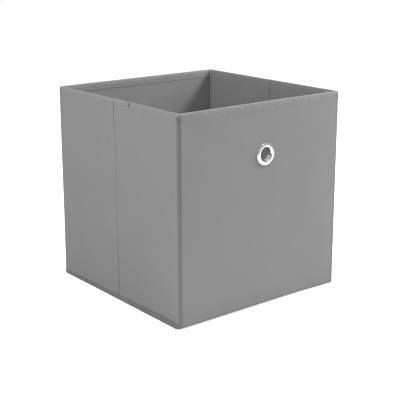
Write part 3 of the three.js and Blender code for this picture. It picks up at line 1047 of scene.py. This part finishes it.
def base_binding():
    """The bound edge of the base panel, with a row of stitches on top."""
    low, high = np.array(BASE_EDGE_LOW)[:2], np.array(BASE_EDGE_HIGH)[:2]
    inwards, heights = binding_section(width=9 * MM, stitch_inset=3 * MM)
    corner_radius = 4 * MM
    outermost = int(np.argmin(inwards))
    reach = corner_radius - np.minimum(inwards, corner_radius)
    beyond = np.maximum(inwards - corner_radius, 0)[:, None]
    turned_sections = []
    for quarter_number, signs in enumerate(((1, 1), (-1, 1), (-1, -1), (1, -1))):
        centre = (low + high) / 2 + np.array(signs) * ((high - low) / 2 - corner_radius)
        for angle in math.pi / 2 * (quarter_number + np.linspace(0, 1, 7)):
            direction = np.array([math.cos(angle), math.sin(angle)])
            plan = centre + reach[:, None] * direction - beyond * signs
            turned_sections.append(np.concatenate([plan, heights[:, None]], axis=1))
    rows = []
    for here, after in zip(turned_sections, turned_sections[1:] + turned_sections[:1]):
        count = max(1, round(np.linalg.norm(after[outermost] - here[outermost]) / (4 * MM)))
        rows += [here + (after - here) * part / count for part in range(count)]
    grid = np.array(rows)
    binding = cloth("base_binding", grid, (0, 0, 0), HEM_FELT, thickness=0.1 * MM, ring=True)
    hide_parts("base_edge_binding")
    place(binding, "base_flap")
    path = np.concatenate([grid, grid[:1]])[:, 3]
    stitching("base_stitches", [(path, np.broadcast_to(Z, path.shape))], "base_flap")


def base_hinge():
    """The cloth strip that hinges the base panel to the back wall."""
    low, high = BASE_EDGE_LOW, BASE_EDGE_HIGH
    axis = AXES["base_lift"]
    back = HALF_DEPTH - LINING - 0.25 * MM
    section = np.array([
        [axis.y - 6 * MM, low.z - 0.12 * MM],
        [axis.y - 3 * MM, low.z - 0.12 * MM],
        [axis.y - 0.2 * MM, low.z - 0.1 * MM],
        [axis.y + 1.4 * MM, low.z + 0.2 * MM],
        [axis.y + 2.8 * MM, low.z + 0.7 * MM],
        [back - 0.2 * MM, low.z + 1.6 * MM],
        [back, low.z + 3 * MM],
        [back, low.z + 6.5 * MM],
    ])
    x = steps(low.x, high.x, 4 * MM)[:, None]
    grid = points_of(x, section[None, :, 0], section[None, :, 1])
    piece = cloth("base_hinge_cloth", grid, (0, -1, 1), FLAT_FELT, thickness=0.1 * MM)
    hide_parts("base_hinge_strip")
    bend = ("back_wall", "base_flap", (0, back - 0.2 * MM, 0), (0, axis.y - 0.4 * MM, 0))
    place(piece, bend)


# --- Eyelet ---------------------------------------------------------------------------------------
def turned(name, profile, node):
    """A ring turned from a closed profile of (radius, depth) round the eyelet's axis."""
    segments = 128
    profile = np.array(profile)
    count = len(profile)
    turn = np.arange(segments) * 2 * math.pi / segments
    spokes = np.stack([np.cos(turn), 0 * turn, np.sin(turn)], axis=1)
    points = profile[None, :, :1] * spokes[:, None, :] + profile[None, :, 1:] * Y
    points = (eyelet_centre() + points).reshape(-1, 3)
    faces = []
    for segment in range(segments):
        here, after = segment * count, (segment + 1) % segments * count
        for k in range(count):
            step = (k + 1) % count
            faces.append((here + k, here + step, after + step, after + k))
    piece = new_piece(name, points, faces, CHROME, sharp_angle=60)
    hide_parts(node)
    place(piece, "front_wall")


def quarter(centre, halves, start, end, count):
    """Points on an ellipse about a centre, between two angles in quarter turns."""
    angles = np.linspace(start, end, count) * math.pi / 2
    return [np.array(centre) + np.array(halves) * [math.cos(angle), math.sin(angle)] for angle in angles]


def flange():
    """The eyelet's domed front, its barrel through the wall, and the end rolled over the washer."""
    outer = (EYELET_HIGH.x - EYELET_LOW.x) / 2
    front = EYELET_LOW.y + HALF_DEPTH
    back = EYELET_HIGH.y + HALF_DEPTH
    metal = 0.9 * MM
    seat = 0.35 * MM
    dome = 2.9 * MM
    crown = EYELET_BORE + dome
    washer_face = WASHER_HIGH.y + HALF_DEPTH
    barrel = EYELET_BORE + metal
    lip_half = (metal + 2.6 * MM) / 2
    lip_low = washer_face + 0.25 * MM
    turned("eyelet_flange_ring", [
        *quarter((crown, seat), (outer - crown, seat - front), 0, -1, 22),
        *quarter((crown, front + dome), (dome, dome), -1, -2, 22)[1:],
        (EYELET_BORE, washer_face + 0.2 * MM),
        *quarter((EYELET_BORE + lip_half, lip_low), (lip_half, back - lip_low), 2, 0, 18),
        (barrel, washer_face + 0.15 * MM),
        (barrel, seat),
    ], "eyelet_flange")
    return barrel


def washer(barrel):
    """The ring between the lining and the eyelet's rolled end."""
    near = WASHER_LOW.y + HALF_DEPTH
    far = WASHER_HIGH.y + HALF_DEPTH
    rim = (WASHER_HIGH.x - WASHER_LOW.x) / 2
    hole = barrel + 0.1 * MM
    edge = (far - near) / 2
    outline = [(hole, near), *quarter((rim - edge, near + edge), (edge, edge), -1, 1, 14), (hole, far)]
    turned("eyelet_washer_ring", outline, "eyelet_washer")


# --- Camera, light and floor ----------------------------------------------------------------------
def camera():
    data = bpy.data.cameras.new("camera")
    data.lens = CAMERA_LENS
    data.shift_y = CAMERA_SHIFT
    bpy.context.scene.camera = add_object("camera", data, CAMERA_PLACE, CAMERA_AIM)


def softbox(name, place_at, size, watts):
    """A soft light that polished metal doesn't mirror: the staged cards give the eyelet its highlights."""
    data = bpy.data.lights.new(name, "AREA")
    data.shape = "RECTANGLE"
    data.size, data.size_y = size
    data.energy = watts
    add_object(name, data, place_at, LIGHT_AIM).visible_glossy = False


def stage_sheet(name, width, height, material, *where):
    """A flat rectangle that isn't part of the bin."""
    mesh = bpy.data.meshes.new(name)
    x, y = width / 2, height / 2
    mesh.from_pydata([(-x, -y, 0), (x, -y, 0), (x, y, 0), (-x, y, 0)], [], [(0, 1, 2, 3)])
    mesh.materials.append(material)
    made = add_object(name, mesh, *where)
    return made


def card(name, place_at, size, glow):
    """A black card, or a glowing one, that only polished metal mirrors."""
    black, _, finish = new_material(name)
    finish({
        "Base Color": (0.01, 0.01, 0.01, 1),
        "Emission Color": (1, 1, 1, 1),
        "Emission Strength": glow,
    })
    made = stage_sheet(name, *size, black, place_at, eyelet_centre())
    made.visible_camera = made.visible_diffuse = made.visible_shadow = made.visible_transmission = False


def white_to_camera(tree, socket, lighting, seen):
    """Sets a strength to one value as a source of light and to another as a white backdrop."""
    path = tree.nodes.new("ShaderNodeLightPath")
    strength = tree.nodes.new("ShaderNodeMapRange")
    strength.inputs["To Min"].default_value = lighting
    strength.inputs["To Max"].default_value = seen
    tree.links.new(path.outputs["Is Camera Ray"], strength.inputs["Value"])
    tree.links.new(strength.outputs["Result"], socket)


def floor():
    """Pale paper."""
    made, node, finish = new_material("floor")
    paper = node("ShaderNodeTexNoise", {"Scale": 40, "Detail": 2}).outputs["Fac"]
    finish({
        "Base Color": grey(node, spread(node, paper, 0.88, 0.92)),
        "Roughness": 0.9,
        "Specular IOR Level": 0.1,
        "Emission Color": (1, 1, 1, 1),
    })
    tree = made.node_tree
    white_to_camera(tree, tree.nodes["Principled BSDF"].inputs["Emission Strength"], 0.0, FLOOR_GLOW)
    stage_sheet("floor", 2 * FLOOR_HALF, 2 * FLOOR_HALF, made)


def studio():
    """White surroundings, soft lights, the cards for the eyelet, and the floor."""
    scene = bpy.context.scene
    scene.view_settings.view_transform = "Standard"
    world = bpy.data.worlds.new("studio")
    world.use_nodes = True
    sky = world.node_tree.nodes["Background"]
    sky.inputs["Color"].default_value = (1, 1, 1, 1)
    white_to_camera(world.node_tree, sky.inputs["Strength"], SKY, 1.0)
    scene.world = world
    for name, values in SOFTBOXES.items():
        softbox(name, *values)
    for name, values in CARDS.items():
        card(name, *values)
    floor()


# --- The whole bin --------------------------------------------------------------------------------
camera()
studio()
for panel in PANELS:
    panel_cloth(panel)
    panel_hem(panel)
for wall_side in ("left", "right"):
    crease(wall_side)
    crease_hem(wall_side)
    side_foot(f"{wall_side}_front")
    side_foot(f"{wall_side}_rear")
for corner_name in CORNERS:
    corner_cloth(corner_name)
    corner_lining(corner_name)
    corner_hem(corner_name)
sliding_gusset()
front_foot()
bottom_cloth()
base_covers()
base_binding()
base_hinge()
washer(flange())
for node_name, node_object in frame["nodes"].items():
    if node_name.endswith("_card"):
        node_object.data.materials.clear()
        node_object.data.materials.append(GREYBOARD)
